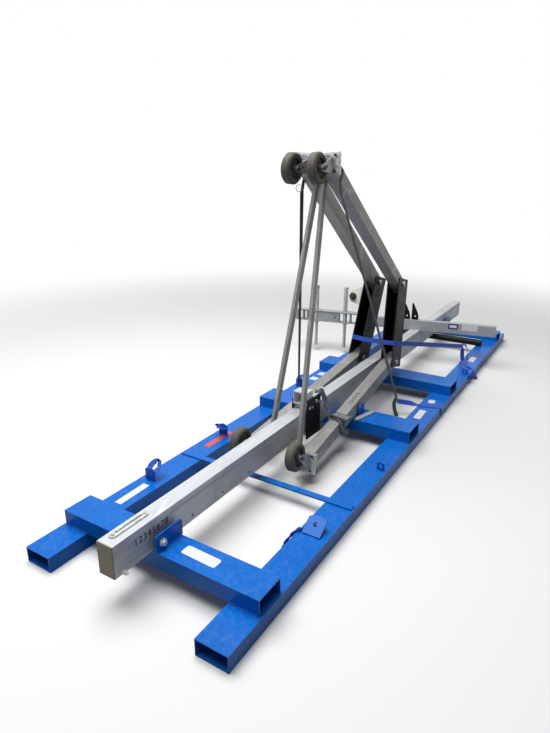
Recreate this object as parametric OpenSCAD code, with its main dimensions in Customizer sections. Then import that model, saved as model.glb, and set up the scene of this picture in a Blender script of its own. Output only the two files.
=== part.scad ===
// Portable aluminium gantry crane, folded and lashed to its steel transport skid.
// X runs along the skid, Y across it, Z up. The origin is on the ground, under the
// middle of the whole pack.

/* [Skid] */
// Length of the two skid rails
rail_len = 4794; // [4400:1:5200]
// Width of a rail tube
rail_w = 152; // [120:1:180]
// Height of a rail tube
rail_h = 76; // [60:1:90]
// Wall of the rails and cross members
tube_wall = 5; // [3:0.5:8]
// Width of the skid over both rails
skid_w = 1111; // [1080:1:1200]
// Height of a cross member
cross_h = 76; // [60:1:90]
// Width of the end cross members
cross_w = 152; // [120:1:180]
// Width of the two fork pockets
pocket_w = 190; // [160:1:230]
// Distance of an end cross member from the rail end
cross_end = 206; // [120:1:400]
// Start of the first fork pocket
pocket_a_x = 1857; // [1800:1:1880]
// Start of the second fork pocket
pocket_b_x = 2765; // [2700:1:2900]
// Inset of the cross members from the rail sides
cross_inset = 10; // [0:1:30]
// Place of the flat tie bar along the rails
tie_x = 1020; // [800:1:1100]
// Width of the tie bar
tie_w = 40; // [30:1:60]
// Thickness of the tie bar and of the lug plates
flat_t = 8; // [5:0.5:12]

/* [Beam] */
// Length of the lifting beam
beam_len = 5047; // [4800:1:5400]
// Width of the beam
beam_w = 83; // [70:0.5:86]
// Height of the beam
beam_h = 148; // [120:1:180]
// Place of the beam's centre line across the skid
beam_y = 585; // [560:1:610]
// Wall of the beam's sides
beam_wall = 8; // [7.5:0.5:12]
// Depth of the groove along each side of the beam
groove_d = 4; // [2:0.5:4]
// Height of the groove
groove_h = 16; // [10:0.5:20]
// Height of the beam's top edge, above the groove
edge_h = 18; // [14:0.5:22]
// Height of the lip at the foot of each side
lip_h = 8; // [5:0.5:10]
// Depth of the side face behind the lip
side_in = 1.5; // [1:0.5:2]
// Diameter of the holes along the beam
hole_d = 14; // [10:0.5:16]
// Distance between the holes
hole_pitch = 225; // [220:1:230]
// Thickness of the beam's top and bottom
beam_flange = 11; // [8:0.5:14]
// Thickness of the beam's end caps
cap_t = 5; // [3:0.5:10]

/* [A-frames] */
// Side of the square leg tube
leg_size = 76.2; // [70:0.1:78]
// Wall of the leg tube
leg_wall = 4.5; // [3:0.5:6]
// Half the distance between the two legs at their feet
base_half = 798; // [780:1:810]
// Angle between a leg and the frame's centre line
leg_angle = 21.5; // [21:0.1:22]
// Length of a leg
leg_len = 1470; // [1450:1:1480]
// Slope of the frame's centre line
frame_tilt = 14; // [13.5:0.1:14.5]
// Lean of each frame towards the other
frame_lean = 3.7; // [3.4:0.05:3.9]
// Angle by which the frames close towards their heads
frame_toe = 1.6; // [1.4:0.05:1.8]
// Where the middle of the frames' base is, along the skid
frame_x = 1492; // [1480:1:1510]
// Gap between the two frames where they come closest, at the raised feet
frame_gap = 1; // [0.5:0.1:4]
// Width of the base tie
tie_tube_w = 38; // [30:0.5:40]
// Thickness of the base tie
tie_tube_t = 19; // [15:0.5:22]
// Wall of the base tie
tie_tube_wall = 2.5; // [2:0.5:4]
// Distance of the base tie behind the feet
tie_back = 35; // [32:1:45]
// Length of the spacer between the base tie and the lower leg
tie_gap_low = 33; // [30:0.5:36]
// Length of the spacer between the base tie and the raised leg
tie_gap_top = 4; // [2:0.5:4.5]
// Diameter of the tie's bolts
tie_bolt_d = 14; // [10:0.5:16]

/* [Castors] */
// Diameter of a castor wheel
wheel_d = 160; // [150:1:165]
// Width of a castor wheel
wheel_w = 50; // [40:0.5:54]
// Diameter of the wheel's core, inside the tyre
core_d = 116; // [100:1:124]
// Length of a wheel's hub
hub_w = 56; // [55:0.5:60]
// Diameter of a wheel's hub
hub_d = 40; // [30:0.5:50]
// Distance from the foot plate to the axle
castor_h = 140; // [132:1:145]
// Trail of the castor
trail = 38; // [30:1:45]
// Angle between the castor axis and the frame's centre line
castor_splay = 8; // [6:0.5:9]
// Width of a foot plate
plate_w = 130; // [120:1:130]
// Height of a foot plate
plate_h = 116; // [110:1:120]
// Thickness of a foot plate
plate_t = 10; // [8:0.5:12]
// Distance of the foot plate's middle outside the leg's centre line
plate_shift = 20; // [16:1:24]
// Thickness of the castor's own plate
top_plate_t = 6; // [5:0.5:8]
// Diameter of the castor axle
axle_d = 12; // [10:0.5:14]
// Diameter of the swivel pin
kingpin_d = 16; // [12:0.5:20]
// Thickness of the fork's sheet metal
fork_t = 5; // [4:0.5:6]

/* [Head] */
// Length of a head channel beyond its pins, at each end
head_end = 37.7717; // [30:0.0001:48]
// Depth of the head channels
head_w = 188; // [180:1:200]
// Distance from a head channel's open edge to its pins
head_back = 83.976; // [74:0.001:94]
// Thickness of the head channels
head_t = 8; // [6:0.5:10]
// Diameter of the head pins
pin_d = 22; // [16:0.5:26]
// Distance of a head pin from the end of its leg
pin_back = 90; // [80:1:100]

/* [Spreader] */
// Length of the spreader bar
bar_len = 1820; // [1700:1:1900]
// Height of the spreader bar
bar_h = 90; // [76:1:100]
// Thickness of the spreader bar
bar_t = 60; // [50:1:76]
// Skew of the spreader bar across the skid
bar_skew = 12; // [8:0.5:14]
// Where the right end of the bar is, along the skid
bar_x = 3800; // [3700:1:3900]
// Where the right end of the bar is, across the skid
bar_y = -80; // [-120:1:-40]
// Length of the plain tube of the bar
bar_plain = 1060; // [1000:1:1100]
// Height by which the bar's cells rise over the plain tube
cell_up = 10; // [5:1:15]
// Thickness of the webs between the cells
web_plate = 8; // [5:0.5:10]
// Diameter of a jack's upper tube
jack_d = 38; // [32:0.5:42]
// Diameter of a jack's lower rod
rod_d = 29; // [22:0.5:31]
// Height of the foot of a jack above the ground
jack_foot = 60; // [30:1:90]
// Height of the top of a jack above the ground
jack_top = 640; // [600:1:680]
// Diameter of the steel tube across the rails
tube_d = 60; // [50:0.5:70]
// Wall of the steel tube
tube_t = 4; // [3:0.5:6]
// Place of the steel tube along the rails
tube_x0 = 4205; // [4150:1:4250]

/* [Straps] */
// Width of the dark strap
dark_w = 28; // [20:1:35]
// Width of the blue strap
blue_w = 34; // [25:1:40]
// Thickness of the webbing
web_t = 3; // [2:0.5:4]

/* [Hidden] */
$fn = 48;
clear = 0.3;
skid_top = rail_h + cross_h;
beam_z = skid_top;
beam_top = beam_z + beam_h;
far_cross_x = rail_len - cross_end - cross_w;

origin_x = max(beam_len, rail_len) / 2;
origin_y = bar_y + bar_len * cos(bar_skew) / 2;

half_leg = leg_size / 2;

// Turns a direction of the left frame's own axes into the skid's axes.
function turned(v) =
  let (
    x = v[0] * cos(frame_tilt) + v[2] * sin(frame_tilt),
    z1 = -v[0] * sin(frame_tilt) + v[2] * cos(frame_tilt),
    y = v[1] * cos(frame_lean) - z1 * sin(frame_lean),
    z = v[1] * sin(frame_lean) + z1 * cos(frame_lean)
  ) [x * cos(frame_toe) + y * sin(frame_toe), -x * sin(frame_toe) + y * cos(frame_toe), z];

// A point on the inner bottom edge of a lower leg, a length from its foot.
function leg_edge(u) = turned([
  u * cos(leg_angle) + half_leg * sin(leg_angle),
  -half_leg,
  -base_half + u * sin(leg_angle) - half_leg * cos(leg_angle)
]);

foot_z = 17;
tie_over = 20;
tie_meet = base_half - tie_back * tan(leg_angle);

// The inner top corners of a raised foot plate and of the base tie's upper end.
foot_back = plate_shift + plate_h / 2;
inner_corners = [
  for (z = [foot_z, foot_z + plate_t]) [
    -foot_back * sin(castor_splay) - z * cos(castor_splay),
    -plate_w / 2,
    base_half + foot_back * cos(castor_splay) - z * sin(castor_splay)
  ],
  [tie_back + tie_tube_w / 2, -half_leg - tie_tube_t - tie_gap_top, tie_meet + tie_over]
];

// Distance of a frame's base from the beam's centre line.
frame_y = frame_gap / 2 - min([for (c = inner_corners) turned(c)[1]]);

// The lower legs lie on the near edge of the first fork pocket.
edge_a = leg_edge(0);
edge_b = leg_edge(leg_len);
edge_z = edge_a[2] + (edge_b[2] - edge_a[2]) * (pocket_a_x - frame_x - edge_a[0]) / (edge_b[0] - edge_a[0]);
frame_z = skid_top + clear - edge_z;

// A point of one frame, given in the left frame's own axes, in skid coordinates.
function frame_pt(side, v) =
  let (t = turned(v)) [frame_x + t[0], beam_y + side * (frame_y + t[1]), frame_z + t[2]];

// A point by a raised leg: a length from its foot, then outwards and upwards from its centre line.
function top_pt(side, u, out, up) = frame_pt(side, [
  u * cos(leg_angle) + up * sin(leg_angle),
  out,
  base_half - u * sin(leg_angle) + up * cos(leg_angle)
]);

SIDES = [-1, 1];

// Moves skid coordinates to the part's own origin.
module placed() {
  translate([-origin_x, -origin_y, 0]) children();
}

// Square or rectangular tube along X, open at both ends.
module tube_x(length, width, height, wall) {
  difference() {
    cube([length, width, height]);
    translate([-1, wall, wall]) cube([length + 2, width - 2 * wall, height - 2 * wall]);
  }
}

// The same tube laid across the skid, along Y.
module tube_y(length, width, height, wall) {
  translate([width, 0, 0]) rotate([0, 0, 90]) tube_x(length, width, height, wall);
}

module rail(y0) {
  color("royalblue") placed() translate([0, y0, 0]) tube_x(rail_len, rail_w, rail_h, tube_wall);
}

module cross(x0, width) {
  color("royalblue") placed() translate([x0, cross_inset, rail_h])
    tube_y(skid_w - 2 * cross_inset, width, cross_h, tube_wall);
}

module rail_right() { rail(0); }
module rail_left() { rail(skid_w - rail_w); }
module cross_front() { cross(cross_end, cross_w); }
module pocket_a() { cross(pocket_a_x, pocket_w); }
module pocket_b() { cross(pocket_b_x, pocket_w); }
module cross_far() { cross(far_cross_x, cross_w); }

module tie_bar() {
  color("royalblue") placed() translate([tie_x, cross_inset, rail_h])
    cube([tie_w, skid_w - 2 * cross_inset, flat_t]);
}

// Upright lug plate with rounded corners, standing on a cross member.
module lug(x0, y0, length, height, corner, hole_x) {
  translate([x0, y0, skid_top]) rotate([90, 0, 0]) linear_extrude(flat_t)
    difference() {
      union() {
        square([length, height - corner]);
        translate([corner, height - corner]) square([length - 2 * corner, corner]);
        for (x = [corner, length - corner]) translate([x, height - corner]) circle(r = corner);
      }
      translate([hole_x, height / 2 - 6]) circle(d = lug_hole);
    }
}

lug_hole = 18;
lug_len = 162;
lug_h = 80;
lug_gap = 20;

stop_in = 68;
stop_y = 379;
stop_len = 84;
stop_h = 70;

// The beam stands between a pair of lugs on each end cross member.
module lug_plates() {
  color("royalblue") placed() {
    for (x = [cross_end, far_cross_x], s = SIDES)
      lug(x - 3, beam_y + s * (beam_w / 2 + lug_gap) + (s + 1) / 2 * flat_t, lug_len, lug_h, 14, 40);
    lug(pocket_a_x + stop_in, stop_y, stop_len, stop_h, 10, stop_len / 2);
  }
}

eye_hole = 22;

// Lashing eye standing across a rail, with its edges curved in to a blunt top.
module eye(x0, y0, width, height, lean) {
  translate([x0, y0, rail_h]) rotate([0, lean, 0]) translate([-flat_t, 0, 0]) rotate([90, 0, 90])
    linear_extrude(flat_t) difference() {
      intersection() {
        translate([-width / 2, 0]) square([width, height]);
        translate([0, -height * 0.15]) scale([width / height, 1.15]) circle(r = height);
      }
      translate([0, height * 0.55]) circle(d = eye_hole);
    }
}

eye_y = skid_w - rail_w / 2 + 10;
strap_eye_x = 2338;
eye_w = 62;
eye_h = 76;
near_eye_x = 711;
second_eye_x = 1361;
flap_x = 742;
flap_y = 82;
flap_w = 93;
flap_h = 100;
small_eye_x = 1475;
far_small_eye_x = 3320;
small_eye_y = 36;
small_eye_w = 44;
small_eye_h = 48;

module lashing_eyes() {
  color("royalblue") placed() {
    for (x = [near_eye_x, second_eye_x, strap_eye_x]) eye(x, eye_y, eye_w, eye_h, 0);
    eye(flap_x, flap_y, flap_w, flap_h, 58);
    for (x = [small_eye_x, far_small_eye_x]) eye(x, small_eye_y, small_eye_w, small_eye_h, 0);
  }
}

module beam_profile() {
  side_top = beam_h - edge_h - groove_h;
  difference() {
    translate([-beam_w / 2, 0]) square([beam_w, beam_h]);
    translate([-beam_w / 2 + beam_wall, beam_flange])
      square([beam_w - 2 * beam_wall, beam_h - 2 * beam_flange]);
    for (s = SIDES) translate([s * beam_w / 2, 0]) {
      translate([-groove_d, side_top]) square([2 * groove_d, groove_h]);
      translate([-side_in, lip_h]) square([2 * side_in, side_top - lip_h - 2]);
    }
  }
}

hole_z = 25;
hole_x = 468;

module beam() {
  color("silver") placed() difference() {
    translate([cap_t, beam_y, beam_z]) rotate([90, 0, 90])
      linear_extrude(beam_len - 2 * cap_t) beam_profile();
    for (x = [hole_x:hole_pitch:beam_len - hole_x + 200])
      translate([x, beam_y, beam_z + hole_z]) rotate([90, 0, 0])
        cylinder(d = hole_d, h = 2 * beam_w, center = true, $fn = 24);
  }
}

module beam_caps() {
  color("dimgray") placed() for (x = [0, beam_len - cap_t])
    translate([x, beam_y - beam_w / 2, beam_z]) cube([cap_t, beam_w, beam_h]);
}

link_x = 40;
link_len = 205;
link_w = 34;
link_t = 7;
link_y = 11;

// Link bar lying on the beam, and the stop pins through its near end.
module beam_fittings() {
  color("silver") placed() {
    translate([link_x + link_w / 2, beam_y + link_y, beam_top]) {
      linear_extrude(link_t) difference() {
        stadium(link_len - link_w, link_w);
        translate([link_w / 2, 0]) stadium(link_len - 2 * link_w, link_w / 3);
      }
      for (x = [0, link_len - link_w]) translate([x, 0, link_t]) cylinder(d = 14, h = 5);
    }
    for (s = SIDES) translate([40, beam_y + s * beam_w / 2, beam_z + 16]) rotate([-90 * s, 0, 0]) {
      cylinder(d = 22, h = 4);
      cylinder(d = 11, h = 32);
      translate([0, 0, 14]) cylinder(d = 19, h = 9, $fn = 6);
    }
  }
}

module stadium(length, width) {
  translate([0, -width / 2]) square([length, width]);
  for (x = [0, length]) translate([x, 0]) circle(d = width);
}

trolley_x = 1515;
trolley_w = 168;
trolley_low = 40;
trolley_high = 64;
trolley_t = 8;
trolley_gap = 4;
roller_d = 22;
spindle_d = 12;
roller_xs = [20, trolley_w - 20];
roller_z = trolley_low + beam_h + roller_d / 2 + clear;
trolley_top = beam_top + trolley_high;
trolley_out = beam_w / 2 + trolley_gap + trolley_t;
// One of the trolley's two black side plates.
module trolley_plate(side) {
  color([0.1, 0.1, 0.11]) placed()
    translate([trolley_x, beam_y + side * (trolley_out - trolley_t / 2) - trolley_t / 2, beam_z - trolley_low])
      difference() {
        cube([trolley_w, trolley_t, trolley_low + beam_h + trolley_high]);
        for (x = roller_xs, z = [roller_z, trolley_low / 2]) translate([x, -1, z]) rotate([-90, 0, 0])
          cylinder(d = spindle_d, h = trolley_t + 2);
      }
}
module trolley_right() { trolley_plate(-1); }
module trolley_left() { trolley_plate(1); }

saddle_len = 75;
saddle_low = 30;
saddle_high = 46;
saddle_wall = 6;
cover_t = 6;

// Aluminium saddle over the rollers, with a flat cover on the side plates behind it.
module trolley_saddle() {
  color("silver") placed() {
    translate([trolley_x, beam_y - trolley_out + trolley_t, beam_top + saddle_low])
      tube_x(saddle_len, 2 * (trolley_out - trolley_t), trolley_high - saddle_low + saddle_high, saddle_wall);
    translate([trolley_x + saddle_len - 1, beam_y - trolley_out, trolley_top])
      cube([trolley_w - saddle_len - 4, 2 * trolley_out, cover_t]);
  }
}

bolt_h = 9;
PLATE_BOLTS = [[54, 196, 14], [104, 219, 22]];

// Rollers on their spindles over the beam, and the cross bolts under it.
module trolley_spindles() {
  reach = beam_w + 2 * trolley_gap + 2 * trolley_t;
  color("silver") placed() translate([trolley_x, beam_y, beam_z - trolley_low]) {
    for (x = roller_xs) translate([x, 0, roller_z]) rotate([-90, 0, 0]) {
      cylinder(d = spindle_d - 0.1, h = reach, center = true);
      cylinder(d = roller_d, h = beam_w - 6, center = true);
      for (s = SIDES) translate([0, 0, s * (reach + bolt_h) / 2]) cylinder(d = 18, h = bolt_h, center = true, $fn = 6);
    }
    for (x = roller_xs) translate([x, 0, trolley_low / 2]) rotate([-90, 0, 0]) {
      cylinder(d = spindle_d - 0.1, h = reach, center = true);
      for (s = SIDES) translate([0, 0, s * (reach + bolt_h) / 2]) cylinder(d = 18, h = bolt_h, center = true, $fn = 6);
    }
    for (b = PLATE_BOLTS) translate([b[0], -reach / 2 - bolt_h, b[1]]) rotate([-90, 0, 0])
      cylinder(d = b[2], h = bolt_h);
  }
}

slot_t = 7;
slot_w = 30;
slot_turn = -12;

// Flat slotted bar clamped on the trolley's cover, reaching out at the back.
module slotted_bar() {
  color("silver") placed() translate([trolley_x + 97, beam_y - 11, trolley_top + cover_t]) rotate([0, 0, slot_turn])
    linear_extrude(slot_t) difference() {
      stadium(120, slot_w);
      translate([14, 0]) stadium(36, 9);
      translate([72, 0]) stadium(34, 9);
    }
}

// Puts children, drawn in the left frame's own axes, on one side of the beam.
module in_frame(side) {
  placed() translate([frame_x, beam_y, frame_z]) mirror([0, side < 0 ? 1 : 0, 0])
    translate([0, frame_y, 0]) rotate([0, 0, -frame_toe]) rotate([frame_lean, 0, 0])
      rotate([0, frame_tilt, 0]) children();
}

// The lower half of a frame, or with end = 1 its mirror image.
module at_end(side, end) {
  in_frame(side) mirror([0, 0, end > 0 ? 1 : 0]) translate([0, 0, -base_half]) children();
}

pin_r_clear = 0.05;

// A foot's own axes: +Z along the swivel axis, +X towards the middle of the frame.
module foot_axes() {
  rotate([0, -90 + castor_splay, 0]) children();
}

module leg(side, end) {
  color("lightgray") at_end(side, end) difference() {
    rotate([0, -leg_angle, 0]) translate([-60, -half_leg, -half_leg])
      tube_x(leg_len + 60, leg_size, leg_size, leg_wall);
    foot_axes() translate([-150, -150, foot_z]) cube(300);
    rotate([0, -leg_angle, 0]) translate([leg_len - pin_back, 0, 0]) rotate([90, 0, 0])
      cylinder(d = pin_d, h = 2 * leg_size, center = true);
  }
}

module low_leg_right() { leg(-1, -1); }
module low_leg_left() { leg(1, -1); }
module top_leg_right() { leg(-1, 1); }
module top_leg_left() { leg(1, 1); }

bolt_pitch = 84;
race_t = 8;
crown_d = 88;
crown_t = 14;
race_z = foot_z + plate_t + top_plate_t;
crown_z = race_z + race_t + clear;
wheel_z = foot_z + plate_t + castor_h;

// Foot plate on the leg's end, with the castor's plate, race and swivel pin.
module foot(side, end) {
  color("gainsboro") at_end(side, end) foot_axes() translate([-plate_shift, 0, 0]) {
    translate([-plate_h / 2, -plate_w / 2, foot_z]) cube([plate_h, plate_w, plate_t]);
    translate([-plate_h / 2 + 6, -plate_w / 2 + 8, foot_z + plate_t])
      cube([plate_h - 12, plate_w - 16, top_plate_t]);
    translate([0, 0, race_z]) cylinder(d = crown_d, h = race_t);
    for (x = SIDES, y = SIDES) translate([x * (plate_h / 2 - 18), y * bolt_pitch / 2, race_z])
      cylinder(d = 16, h = 8);
    cylinder_between(race_z, crown_z + crown_t + clear, kingpin_d - 2 * pin_r_clear);
    translate([0, 0, crown_z + crown_t + clear]) cylinder(d = 30, h = 8);
  }
}

module cylinder_between(z0, z1, d) {
  translate([0, 0, z0]) cylinder(d = d, h = z1 - z0);
}

module low_foot_right() { foot(-1, -1); }
module low_foot_left() { foot(1, -1); }
module top_foot_right() { foot(-1, 1); }
module top_foot_left() { foot(1, 1); }

fork_in = hub_w + 2;
arm_top = crown_z + crown_t - fork_t;

// Swivel fork: a bored crown, a cap and two arms down to the axle.
module fork(side, end) {
  color("silver") at_end(side, end) foot_axes() translate([-plate_shift, 0, 0]) {
    difference() {
      union() {
        translate([0, 0, crown_z]) cylinder(d = crown_d, h = crown_t);
        translate([-34, -fork_in / 2 - fork_t, arm_top]) cube([68 + trail / 2, fork_in + 2 * fork_t, fork_t]);
      }
      translate([0, 0, crown_z - 1]) cylinder(d = kingpin_d, h = crown_t + 2);
    }
    for (s = SIDES)
      translate([0, s * (fork_in / 2 + fork_t / 2) + fork_t / 2, 0]) rotate([90, 0, 0])
        linear_extrude(fork_t) polygon([
          [-34, arm_top], [34 + trail / 2, arm_top], [trail + 17, wheel_z - 10],
          [trail + 12, wheel_z + 12], [trail, wheel_z + 17], [trail - 12, wheel_z + 12], [trail - 17, wheel_z]
        ]);
    translate([trail, 0, wheel_z]) rotate([90, 0, 0]) {
      cylinder(d = axle_d - 2 * pin_r_clear, h = fork_in + 2 * fork_t + 16, center = true);
      for (s = SIDES) translate([0, 0, s * (fork_in / 2 + fork_t + 4)]) cylinder(d = 24, h = 8, center = true);
    }
  }
}

tyre_edge = 8;

// Tyred wheel, turned about its axle.
module wheel(side, end) {
  color([0.25, 0.24, 0.22]) at_end(side, end) foot_axes() translate([trail - plate_shift, 0, wheel_z])
    rotate([90, 0, 0]) rotate_extrude($fn = 64) polygon([
      [axle_d / 2, -hub_w / 2], [hub_d / 2, -hub_w / 2], [hub_d / 2, -10], [core_d / 2 - 6, -10],
      [core_d / 2 - 6, -wheel_w / 2 + 4], [core_d / 2 + 4, -wheel_w / 2],
      [wheel_d / 2 - tyre_edge, -wheel_w / 2], [wheel_d / 2, -wheel_w / 2 + tyre_edge],
      [wheel_d / 2, wheel_w / 2 - tyre_edge], [wheel_d / 2 - tyre_edge, wheel_w / 2],
      [core_d / 2 + 4, wheel_w / 2], [core_d / 2 - 6, wheel_w / 2 - 4],
      [core_d / 2 - 6, 10], [hub_d / 2, 10], [hub_d / 2, hub_w / 2], [axle_d / 2, hub_w / 2]
    ]);
}

module fork_low_right() { fork(-1, -1); }
module fork_low_left() { fork(1, -1); }
module fork_top_right() { fork(-1, 1); }
module fork_top_left() { fork(1, 1); }
module wheel_low_right() { wheel(-1, -1); }
module wheel_low_left() { wheel(1, -1); }
module wheel_top_right() { wheel(-1, 1); }
module wheel_top_left() { wheel(1, 1); }

tie_y = half_leg + tie_tube_t / 2 + (tie_gap_low + tie_gap_top) / 2;
tie_turn = atan((tie_gap_low - tie_gap_top) / (2 * tie_meet));

// Spacer and bolt head where the base tie is bolted to a leg.
module tie_bolt(end, gap) {
  translate([0, 0, end * tie_meet]) rotate([-90, 0, 0]) {
    translate([0, 0, tie_tube_t / 2]) cylinder(d = tie_bolt_d + 10, h = gap - 0.4);
    translate([0, 0, -tie_tube_t / 2 - 8]) cylinder(d = tie_bolt_d + 8, h = 8);
  }
}

// Flat tube that ties the feet of a frame together, on its inner side.
module base_tie(side) {
  color("silver") in_frame(side) translate([tie_back, -tie_y, 0]) rotate([-tie_turn, 0, 0]) {
    difference() {
      cube([tie_tube_w, tie_tube_t, 2 * (tie_meet + tie_over)], center = true);
      cube([tie_tube_w - 2 * tie_tube_wall, tie_tube_t - 2 * tie_tube_wall, 3 * base_half], center = true);
    }
    tie_bolt(-1, tie_gap_low);
    tie_bolt(1, tie_gap_top);
  }
}
module base_tie_right() { base_tie(-1); }
module base_tie_left() { base_tie(1); }

pin_x = (leg_len - pin_back) * cos(leg_angle);
pin_z = base_half - (leg_len - pin_back) * sin(leg_angle);
head_x = pin_x - head_back;
head_len = 2 * (pin_z + head_end);

// Steel channel that joins the head ends of a frame's two legs.
module head_channel(side) {
  color([0.1, 0.1, 0.11]) in_frame(side) difference() {
    union() {
      for (s = SIDES) translate([head_x, s > 0 ? half_leg : -half_leg - head_t, -head_len / 2])
        cube([head_w, head_t, head_len]);
      translate([head_x + head_w, -half_leg - head_t, -head_len / 2])
        cube([head_t, leg_size + 2 * head_t, head_len]);
    }
    for (s = SIDES) translate([pin_x, 0, s * pin_z]) rotate([90, 0, 0])
      cylinder(d = pin_d, h = 2 * leg_size, center = true);
  }
}
module head_channel_right() { head_channel(-1); }
module head_channel_left() { head_channel(1); }

// Bolts through a head channel and the legs in it.
module head_bolts(side) {
  color("gainsboro") in_frame(side) for (s = SIDES) translate([pin_x, 0, s * pin_z]) rotate([90, 0, 0]) {
    cylinder(d = pin_d - 2 * pin_r_clear, h = leg_size + 2 * head_t, center = true);
    for (e = SIDES) translate([0, 0, e * (half_leg + head_t + 6)]) cylinder(d = 1.6 * pin_d, h = 12, center = true);
  }
}
module head_bolts_right() { head_bolts(-1); }
module head_bolts_left() { head_bolts(1); }

out_y = half_leg + head_t;
bracket_t = 8;
bracket_z = 156;

// Cream bracket on the outer side of the left head channel.
module guide_bracket() {
  color("cornsilk") in_frame(1) translate([head_x + 12, out_y, bracket_z]) rotate([90, 0, 90])
    linear_extrude(bracket_t) difference() {
      polygon([[0, -64], [84, -46], [96, -34], [96, 22], [86, 36], [0, 80]]);
      translate([66, ring_z]) circle(d = roller_pin);
    }
}

ring_z = -6;
roller_pin = 24;

// Black rubber ring with a steel hub, pushed through the bracket.
module guide_roller() {
  color("dimgray") in_frame(1) translate([head_x + 12, out_y + 66, bracket_z + ring_z]) rotate([0, -90, 0]) {
    translate([0, 0, -bracket_t]) cylinder(d = roller_pin - 0.1, h = bracket_t + 34);
    cylinder(d = 52, h = 16);
    translate([0, 0, 16]) cylinder(d = 34, h = 22);
  }
}

module on_bar() {
  placed() translate([bar_x, bar_y, beam_top]) rotate([0, 0, bar_skew]) children();
}

module spreader_bar() {
  color("silver") on_bar() translate([-bar_t / 2, 0, 0]) tube_y(bar_plain, bar_t, bar_h, tube_wall);
}

// Ends of the openings in the bar's cells, along the bar from its right end.
CELLS = [[1118, 1134], [1159, 1213], [1221, 1280], [1292, 1393], [1601, 1698], [1712, 1742], [1752, 1798]];
post_ys = [1340, 1618];

cap_plate_in = 60;
cap_plate_t = 6;
cap_plate_over = 8;
post_hole_y = 1429;
post_hole_d = 14;

// End of the bar made of open cells between a top and a bottom plate.
module spreader_cells() {
  color("silver") on_bar() difference() {
    union() {
      translate([-bar_t / 2, bar_plain, 0]) cube([bar_t, bar_len - bar_plain, bar_h + cell_up]);
      translate([-bar_t / 2 - cap_plate_over, bar_plain + cap_plate_in, bar_h + cell_up])
        cube([bar_t + 2 * cap_plate_over, bar_len - bar_plain - 2 * cap_plate_in, cap_plate_t]);
    }
    for (c = CELLS) translate([-bar_t, c[0], web_plate])
      cube([2 * bar_t, c[1] - c[0], bar_h + cell_up - 2 * web_plate]);
    translate([-bar_t, post_hole_y, bar_h / 2 + 6]) rotate([0, 90, 0]) cylinder(d = post_hole_d, h = 2 * bar_t);
    for (y = post_ys) translate([0, y, -1]) cylinder(d = jack_d, h = bar_h + cell_up + 8);
  }
}

// Jack through the bar: an upper tube with a cap and a lower rod with a foot.
module jack(y) {
  color("gainsboro") on_bar() translate([0, y, -beam_top]) {
    translate([0, 0, beam_top - 6]) cylinder(d = jack_d - 0.1, h = jack_top - beam_top - 6);
    translate([0, 0, jack_top - 12]) cylinder(d = jack_d + 12, h = 12);
    translate([0, 0, jack_foot + 8]) cylinder(d = rod_d, h = beam_top - jack_foot);
    translate([0, 0, jack_foot]) cylinder(d = rod_d + 14, h = 8);
    translate([0, 0, beam_top - 6 - 10]) cylinder(d = jack_d + 8, h = 10);
  }
}
module jack_near() { jack(post_ys[0]); }
module jack_far() { jack(post_ys[1]); }

// Two pointed gusset plates standing on the bar over the beam.
module spreader_gussets() {
  color([0.1, 0.1, 0.11]) on_bar() for (y = [665, 738])
    translate([-4, y, bar_h]) rotate([90, 0, 90]) linear_extrude(8) difference() {
      polygon([[0, 0], [62, 0], [62, 150], [52, 152], [8, 62], [0, 30]]);
      translate([28, 32]) circle(d = 13);
    }
}

// Round steel tube lying across both rails under the beam.
module roller_tube() {
  color([0.1, 0.1, 0.11]) placed() translate([tube_x0, 104, rail_h + tube_d / 2]) rotate([-90, 0, 0]) difference() {
    cylinder(d = tube_d, h = skid_w - 190);
    translate([0, 0, -1]) cylinder(d = tube_d - 2 * tube_t, h = skid_w);
  }
}

// Straight length of webbing from a to b, turned about its own length.
module band(a, b, width, turn) {
  v = b - a;
  translate(a) rotate([0, -asin(v[2] / norm(v)), atan2(v[1], v[0])]) rotate([turn, 0, 0])
    translate([-web_t / 2, -width / 2, -web_t / 2]) cube([norm(v) + web_t, width, web_t]);
}

strap_u = 62;
strap_gap = half_leg + clear + web_t / 2;
knot = [2408, 286, 100];
eye_top = rail_h + 34;
hook_x = strap_eye_x - flat_t;

// Dark strap over a raised leg: up its outer side and across its top.
module over_leg(side) {
  at_end(side, 1) rotate([0, -leg_angle, 0]) translate([strap_u - dark_w / 2, 0, -half_leg - clear - web_t]) {
    translate([0, half_leg + clear, 0]) cube([dark_w, web_t, leg_size + clear + web_t + 8]);
    translate([0, -half_leg - 2, 0]) cube([dark_w, leg_size + 2 + clear + web_t, web_t]);
  }
}

// Strap over both raised legs, from an eye on the left rail to the webbing on the right.
module leg_lashing() {
  color([0.15, 0.15, 0.16]) {
    for (s = SIDES) over_leg(s);
    placed() {
      band(top_pt(-1, strap_u, -half_leg, strap_gap), top_pt(1, strap_u, -half_leg, strap_gap), dark_w,
        frame_tilt + leg_angle);
      band(top_pt(-1, strap_u, strap_gap, -half_leg - 5), knot + [-5, 2, 22], dark_w, 90);
      band(top_pt(1, strap_u, strap_gap, -half_leg - 5), [hook_x - 11, eye_y, eye_top + 8], dark_w, 90);
      translate([hook_x - clear - 8, eye_y, eye_top]) rotate([0, 90, 0]) cylinder(d = 34, h = 8);
    }
  }
}

web_z = rail_h + clear + web_t / 2;

// Blue webbing from the dark strap's hook over the right rail.
module rail_webbing() {
  color("mediumblue") placed() {
    translate(knot + [-14, -14, -10]) cube([28, 30, 18]);
    band(knot + [4, -10, 0], [2476, rail_w, web_z], blue_w, 0);
    band([2476, rail_w, web_z], [2520, -clear - web_t / 2, web_z], blue_w, 0);
    band([2520, -clear - web_t / 2, web_z], [2524, -clear - web_t / 2, 24], blue_w, 90);
  }
}

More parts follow.
